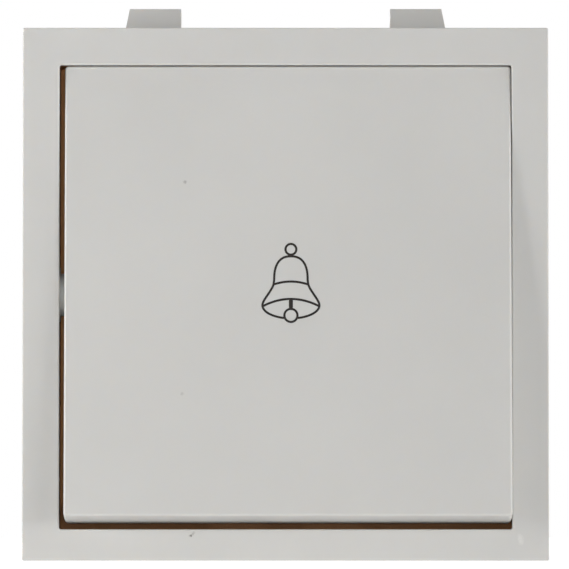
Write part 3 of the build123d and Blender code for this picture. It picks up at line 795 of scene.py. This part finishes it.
def moulded_plastic(name, tint, specks):
    """Off-white moulded plastic, satin, with specks."""
    material, shader = moulded(
        name,
        tint,
        shade=0.965,
        cloud=85.0,
        grain=4200.0,
        rough=(0.34, 0.46),
        strength=0.35,
        depth=0.006 * MM,
        specks=specks,
    )
    lit_under_skin(shader, weight=0.4, radius=(1.0, 0.8, 0.6), scale=0.35 * MM)
    return material


def printed_ink(finishes):
    """Charcoal screen ink with a thin, uneven film."""
    material, shader = moulded(
        "printed_ink",
        finishes.ink,
        shade=1.5,
        cloud=2600.0,
        grain=9000.0,
        rough=(0.45, 0.6),
        strength=0.3,
        depth=0.003 * MM,
    )
    shader.inputs["Specular IOR Level"].default_value = 0.3
    return material


def natural_nylon(finishes):
    """Natural nylon: waxy, slightly see-through off-white."""
    material, shader = moulded(
        "natural_nylon",
        finishes.nylon,
        shade=0.92,
        cloud=420.0,
        grain=5200.0,
        rough=(0.3, 0.42),
        strength=0.3,
        depth=0.005 * MM,
    )
    lit_under_skin(shader, weight=0.12, radius=(1.0, 0.9, 0.7), scale=0.7 * MM)
    return material


def brown_phenolic(finishes):
    """Dark brown phenolic moulding, painted paler where it shows in the gaps round the rocker, as
    painted light in their shade.
    """
    material, tree, shader, place = start_material("brown_phenolic")
    skin = placed(
        tree,
        "filled_resin",
        {
            "Vector": place,
            "Tint": solid(finishes.phenolic),
            # Painted light: the paler brown that the gaps round the rocker show, in place of their
            # shade.
            "Dust": solid(finishes.painted_gap_light),
            "Fleck": solid(finishes.filler),
            "Fleck Scale": 3800.0,
            "Dust From": 3.0 * MM,
            "Dust To": 7.0 * MM,
            "Dust Half": 19.6 * MM,
            "Dust Thin": -17.4 * MM,
            "Dust Foot": -18.2 * MM,
        },
    )
    surfaced(tree, shader, skin, skin["Color"], strength=0.4, depth=0.008 * MM)
    return material


def worked_metal(name, tint, stain, amount, stretch, scale, rough):
    """A metal with streaks along the direction that stretch shrinks, and stains."""
    material, tree, shader, place = start_material(name)
    skin = placed(
        tree,
        "metal_skin",
        {
            "Vector": place,
            "Stretch": stretch,
            "Tint": solid(tint),
            "Stain": solid(stain),
            "Stain Amount": amount,
            "Streak Scale": scale,
            "Rough Low": rough[0],
            "Rough High": rough[1],
        },
    )
    surfaced(tree, shader, skin, skin["Color"], strength=0.3, depth=0.004 * MM)
    shader.inputs["Metallic"].default_value = 1.0
    return material


def dress(material, *names):
    """Gives CAD nodes their finished material."""
    for name in names:
        slots = frame["nodes"][name].data.materials
        slots.clear()
        slots.append(material)


class BELLPUSH_OT_front_frame(bpy.types.Operator):
    """Finish the moulded frame, with the marks that its lower rail has"""

    bl_idname = "bell_push.front_frame"
    bl_label = "Frame"

    def execute(self, context):
        finishes = context.scene.bell_push_finishes
        specks = [
            ((across * MM, FRONT_Y, up * MM), radius * MM, strength, dirt)
            for marks, dirt in ((RAIL_GRIME, finishes.grime), (RAIL_SCUFF, finishes.scuff))
            for across, up, radius, strength in marks
        ]
        dress(moulded_plastic("frame_plastic", finishes.frame_plastic, specks), "front_frame")
        return {"FINISHED"}


class BELLPUSH_OT_rocker(bpy.types.Operator):
    """Finish the moulded rocker, with the two specks on its face"""

    bl_idname = "bell_push.rocker"
    bl_label = "Rocker"

    def execute(self, context):
        finishes = context.scene.bell_push_finishes
        at = partial(on_face, context.scene.bell_push_print, out=0.0)
        specks = [
            (at(across * MM, up * MM).tolist(), radius * MM, strength, finishes.grime)
            for across, up, radius, strength in FACE_GRIME
        ]
        dress(moulded_plastic("rocker_plastic", finishes.rocker_plastic, specks), "rocker")
        return {"FINISHED"}


class BELLPUSH_OT_bell_print(bpy.types.Operator):
    """Print the line bell on the rocker's face"""

    bl_idname = "bell_push.bell_print"
    bl_label = "Bell print"

    def execute(self, context):
        ink = printed_ink(context.scene.bell_push_finishes)
        piece = mesh_piece("bell_print", *bell_mesh(context.scene.bell_push_print), ink)
        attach(piece, "rocker")
        return {"FINISHED"}


class BELLPUSH_OT_base(bpy.types.Operator):
    """Finish the brown base and the cover over its chambers, and raise the marks on its back"""

    bl_idname = "bell_push.base"
    bl_label = "Base and cover"

    def execute(self, context):
        brown = brown_phenolic(context.scene.bell_push_finishes)
        dress(brown, "base", "mechanism_cover")
        piece = mesh_piece("mould_marks", *mould_marks(context.scene.bell_push_marks), brown)
        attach(piece, "housing")
        return {"FINISHED"}


class BELLPUSH_OT_plunger(bpy.types.Operator):
    """Finish the plunger"""

    bl_idname = "bell_push.plunger"
    bl_label = "Plunger"

    def execute(self, context):
        dress(natural_nylon(context.scene.bell_push_finishes), "plunger")
        return {"FINISHED"}


class BELLPUSH_OT_springs(bpy.types.Operator):
    """Coil the two springs of the plunger and of the bridge in place of the plain ones, each hung
    on its body; the coils keep one length
    """

    bl_idname = "bell_push.springs"
    bl_label = "Springs"

    def execute(self, context):
        sizes = context.scene.bell_push_coils
        wire = worked_metal(
            "spring_wire",
            context.scene.bell_push_finishes.spring,
            WIRE_STAIN,
            amount=0.3,
            stretch=(1.0, 0.35, 1.0),
            scale=5200.0,
            rough=(0.2, 0.34),
        )
        # Held is the end of the spring's box, 0 in front or 1 behind, that stays in place.
        for kind, body, joint, held in (
            ("return", "housing", "plunger_slide", 1),
            ("contact", "plunger", "bridge_overtravel", 0),
        ):
            node, thick = f"{kind}_spring", getattr(sizes, f"{kind}_wire")
            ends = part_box(node)
            coil = mesh_piece(f"{kind}_coil", *coil_mesh(*ends, thick, sizes), wire)
            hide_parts(node)
            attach(coil, body)
            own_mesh(coil)
        return {"FINISHED"}


class BELLPUSH_OT_contacts(bpy.types.Operator):
    """Finish the stamped strips and the silver tips"""

    bl_idname = "bell_push.contacts"
    bl_label = "Contacts"

    def execute(self, context):
        finishes = context.scene.bell_push_finishes
        strip = worked_metal(
            "brass_strip",
            finishes.strip,
            finishes.tarnish,
            amount=0.55,
            stretch=(0.06, 1.0, 1.0),
            scale=4200.0,
            rough=(0.24, 0.4),
        )
        silver = worked_metal(
            "silver_tip",
            finishes.silver,
            SILVER_STAIN,
            amount=0.4,
            stretch=(1.0, 1.0, 1.0),
            scale=3000.0,
            rough=(0.28, 0.46),
        )
        dress(strip, "bridge_contact", "fixed_contact_left", "fixed_contact_right")
        dress(silver, "bridge_tip_left", "bridge_tip_right", "fixed_tip_left", "fixed_tip_right")
        return {"FINISHED"}


class BELLPUSH_OT_terminals(bpy.types.Operator):
    """Finish the terminal blocks and all the screws"""

    bl_idname = "bell_push.terminals"
    bl_label = "Terminals and screws"

    def execute(self, context):
        finishes = context.scene.bell_push_finishes
        block = worked_metal(
            "brass_block",
            finishes.block,
            finishes.tarnish,
            amount=0.5,
            stretch=(1.0, 1.0, 0.05),
            scale=3600.0,
            rough=(0.22, 0.38),
        )
        zinc = worked_metal(
            "zinc_plate",
            finishes.zinc,
            ZINC_STAIN,
            amount=0.4,
            stretch=(1.0, 1.0, 1.0),
            scale=2600.0,
            rough=(0.24, 0.42),
        )
        dress(block, "terminal_left", "terminal_right")
        dress(zinc, "terminal_screw_left", "terminal_screw_right", "cover_screw")
        return {"FINISHED"}


def seen_ray(tree):
    """Output socket that is 1 on rays from the camera, and on those that gloss or glass sends."""
    path = add(tree, "ShaderNodeLightPath").outputs
    mirrored = maths(tree, "MAXIMUM", path["Is Camera Ray"], path["Is Glossy Ray"])
    return maths(tree, "MAXIMUM", mirrored, path["Is Transmission Ray"])


def white_floor(stage):
    """A shining table: a flat grid of squares just under the frame's lower edge.

    It is matt, gives off an even light, and looks whiter than it lights, less so near the object.
    """
    side = FLOOR_SQUARES + 1
    steps = np.linspace(-stage.floor_half, stage.floor_half, side)
    across, along = np.meshgrid(steps, steps)
    height = np.full(across.size, FRAME_LOW.z - FLOOR_GAP)
    points = np.stack([across.ravel(), along.ravel(), height], axis=1)
    squares = np.arange(FLOOR_SQUARES)
    first = (squares[:, None] * side + squares[None, :]).ravel()
    faces = np.stack([first, first + 1, first + side + 1, first + side], axis=1).tolist()
    material = bpy.data.materials.new("white_floor")
    material.use_nodes = True
    tree = material.node_tree
    tree.nodes.clear()
    matt = add(tree, "ShaderNodeBsdfDiffuse", {"Color": FLOOR_TINT})
    place = add(tree, "ShaderNodeTexCoord").outputs["Object"]
    away = add(tree, "ShaderNodeVectorMath", {0: place}, operation="LENGTH").outputs["Value"]
    glows = (stage.near_glow, stage.far_glow)
    shown = ranged(tree, away, (stage.near_reach, stage.far_reach), glows)
    strength = maths(tree, "MULTIPLY_ADD", seen_ray(tree), shown, stage.floor_light)
    glow = add(tree, "ShaderNodeEmission", {"Strength": strength})
    both = add(tree, "ShaderNodeAddShader", {0: matt.outputs[0], 1: glow.outputs[0]})
    add(tree, "ShaderNodeOutputMaterial", {"Surface": both.outputs[0]})
    mesh_piece("floor", points, faces, material, smooth=False)


def white_world(scene, stage):
    """Even light of its own strength, shown as plain white."""
    world = bpy.data.worlds.new("white_surround")
    world.use_nodes = True
    tree = world.node_tree
    tree.nodes.clear()
    even = add(tree, "ShaderNodeBackground", {"Color": WHITE, "Strength": stage.world_light})
    white = add(tree, "ShaderNodeBackground", {"Color": WHITE, "Strength": 1.0})
    ways = {0: seen_ray(tree), 1: even.outputs[0], 2: white.outputs[0]}
    chosen = add(tree, "ShaderNodeMixShader", ways)
    add(tree, "ShaderNodeOutputWorld", {"Surface": chosen.outputs[0]})
    scene.world = world


def direction(turn, rise):
    """Unit vector towards a turn round from the front, and a rise over the level."""
    return Vector((sin(turn) * cos(rise), -cos(turn) * cos(rise), sin(rise)))


def flat_lamp(name, place, light, wide, tall=None):
    """A flat lamp that faces the middle of the frame: a rectangle, or a disc without a height."""
    data = bpy.data.lights.new(name, "AREA")
    data.shape = "RECTANGLE" if tall else "DISK"
    data.size = wide
    data.size_y = tall or wide
    data.energy = light
    lamp = bpy.data.objects.new(name, data)
    lamp.location = place
    lamp.rotation_euler = (-Vector(place)).to_track_quat("-Z", "Y").to_euler()
    lamp.visible_camera = False
    bpy.context.scene.collection.objects.link(lamp)
    return lamp


def long_lens_camera(scene, stage):
    """A long lens in front of the frame, a little below its middle and tipped up."""
    data = bpy.data.cameras.new("camera")
    data.sensor_width = SENSOR_WIDTH_MM
    data.lens = stage.lens
    data.clip_start = NEAR_CLIP
    camera = bpy.data.objects.new("camera", data)
    camera.location = (stage.camera_x, FRONT_Y - stage.camera_back, stage.camera_z)
    aim = Vector((stage.camera_x, FRONT_Y, stage.aim_z))
    camera.rotation_euler = (aim - camera.location).to_track_quat("-Z", "Y").to_euler()
    scene.collection.objects.link(camera)
    scene.camera = camera
    return camera


class BELLPUSH_OT_stage(bpy.types.Operator):
    """Set the white floor, the even light, five lamps and the camera"""

    bl_idname = "bell_push.stage"
    bl_label = "Stage"

    def execute(self, context):
        scene, stage = context.scene, context.scene.bell_push_stage
        white_floor(stage)
        white_world(scene, stage)
        for side in ("left", "right", "top", "back"):
            turn, rise, far, light, wide, tall = (
                getattr(stage, f"{side}_{word}")
                for word in ("turn", "rise", "far", "light", "wide", "tall")
            )
            flat_lamp(f"{side}_lamp", direction(turn, rise) * far, light, wide, tall)
        camera = long_lens_camera(scene, stage)
        front = flat_lamp("front_lamp", camera.location, stage.front_light, stage.front_wide)
        front.visible_glossy = False
        scene.view_settings.view_transform = "Standard"
        return {"FINISHED"}


STEPS = (
    BELLPUSH_OT_front_frame,
    BELLPUSH_OT_rocker,
    BELLPUSH_OT_bell_print,
    BELLPUSH_OT_base,
    BELLPUSH_OT_plunger,
    BELLPUSH_OT_springs,
    BELLPUSH_OT_contacts,
    BELLPUSH_OT_terminals,
    BELLPUSH_OT_stage,
)
SETTINGS = {
    "bell_push_finishes": BellPushFinishes,
    "bell_push_print": BellPrintSizes,
    "bell_push_marks": MouldMarkSizes,
    "bell_push_coils": CoilSizes,
    "bell_push_stage": BellPushStage,
}


class BELLPUSH_PT_panel(bpy.types.Panel):
    """Lists the steps, the colours and the sizes"""

    bl_idname = "BELLPUSH_PT_panel"
    bl_label = "Bell Push"
    bl_space_type = "VIEW_3D"
    bl_region_type = "UI"
    bl_category = "Bell Push"

    def draw(self, context):
        for step in STEPS:
            self.layout.operator(step.bl_idname)
        for setting, group in SETTINGS.items():
            box = self.layout.box()
            for name in group.__annotations__:
                box.prop(getattr(context.scene, setting), name)


CLASSES = (*SETTINGS.values(), *STEPS, BELLPUSH_PT_panel)


def register():
    """Registers the classes, and gives the scene its settings."""
    for item in CLASSES:
        bpy.utils.register_class(item)
    for setting, group in SETTINGS.items():
        setattr(bpy.types.Scene, setting, PointerProperty(type=group))


def unregister():
    """Takes the settings from the scene, and the classes back."""
    for setting in SETTINGS:
        delattr(bpy.types.Scene, setting)
    for item in reversed(CLASSES):
        bpy.utils.unregister_class(item)


def main():
    """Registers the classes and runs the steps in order."""
    register()
    bpy.ops.bell_push.front_frame()
    bpy.ops.bell_push.rocker()
    bpy.ops.bell_push.bell_print()
    bpy.ops.bell_push.base()
    bpy.ops.bell_push.plunger()
    bpy.ops.bell_push.springs()
    bpy.ops.bell_push.contacts()
    bpy.ops.bell_push.terminals()
    bpy.ops.bell_push.stage()


if __name__ == "__main__":
    main()
